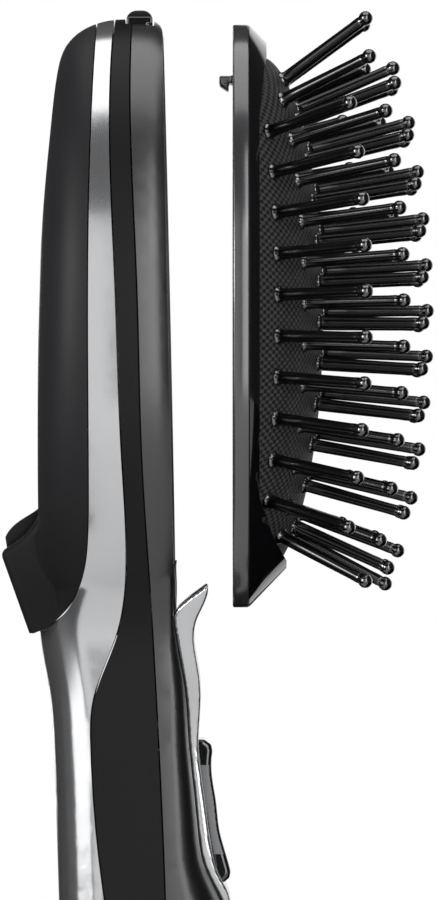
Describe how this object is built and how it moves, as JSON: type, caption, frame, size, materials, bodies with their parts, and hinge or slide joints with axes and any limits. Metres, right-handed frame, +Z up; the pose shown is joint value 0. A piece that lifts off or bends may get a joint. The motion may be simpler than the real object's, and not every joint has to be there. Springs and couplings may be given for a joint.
{
  "type": "ionic styling brush",
  "caption": "Battery ionic hair styling brush: handle with slide switch, oval head with rear ion outlet, and a lift-off pad of ball-tipped pins.",
  "frame": {"origin": "middle of the flat end of the handle", "axes": "+Z up the handle to the head, +X to the bristle side, Y across the head"},
  "size_m": [0.0859, 0.0768, 0.2399],
  "materials": {
    "soft_touch_black": "soft-touch matte",
    "satin_silver": "satin metallic lacquer",
    "satin_black": "satin",
    "gloss_black": "polished",
    "plate_grey": "satin",
    "cushion_rubber": "fine dimpled",
    "pin_nylon": "gloss",
    "steel": "plated",
    "board": "solder mask",
    "cell_can": "plain wrapped can"
  },
  "bodies": {
    "handle": {"rear_cover": "soft_touch_black", "silver_frame": "satin_silver", "mid_shell": "satin_black", "front_shell": "gloss_black", "pad_seat": "satin_black", "switch_collar": "satin_silver", "ion_grille": "satin_black", "release_spring": "steel", "case_screws": "steel", "switch_block": "satin_black", "main_board": "board", "board_screws": "steel", "battery_tray": "satin_black", "cell_left": "cell_can", "cell_right": "cell_can", "contact_left": "steel", "contact_right": "steel", "contact_bridge": "steel", "ion_module": "satin_black", "needle_holder": "satin_black", "ion_needle": "steel", "lead_wires": "satin_black"},
    "brush_pad": {"pad_plate": "plate_grey", "pad_bezel": "gloss_black", "cushion": "cushion_rubber", "pins_column_1": "pin_nylon", "pins_column_2": "pin_nylon", "pins_column_3": "pin_nylon", "pins_column_4": "pin_nylon", "pins_column_5": "pin_nylon", "pins_column_6": "pin_nylon", "pins_column_7": "pin_nylon"},
    "release": {"release_button": "gloss_black", "latch_bar": "satin_black"},
    "switch": {"switch_slider": "gloss_black"},
    "battery_door": {"battery_cover": "satin_silver"}
  },
  "joints": [
    {"name": "pad_pull", "type": "slide", "parent": "handle", "child": "brush_pad", "axis": [0.9925, 0, 0.1219], "range_m": [-0.016, 0]},
    {"name": "release_press", "type": "slide", "parent": "handle", "child": "release", "axis": [0, 0, -1], "range_m": [0, 0.0016], "stiffness_N_per_m": 600, "springref_m": -0.001, "deforming": ["release_spring"]},
    {"name": "switch_slide", "type": "slide", "parent": "handle", "child": "switch", "axis": [-0.158, 0, 0.9874], "range_m": [0, 0.005]},
    {"name": "battery_cover_slide", "type": "slide", "parent": "handle", "child": "battery_door", "axis": [0, 0, -1], "range_m": [0, 0.06]}
  ]
}
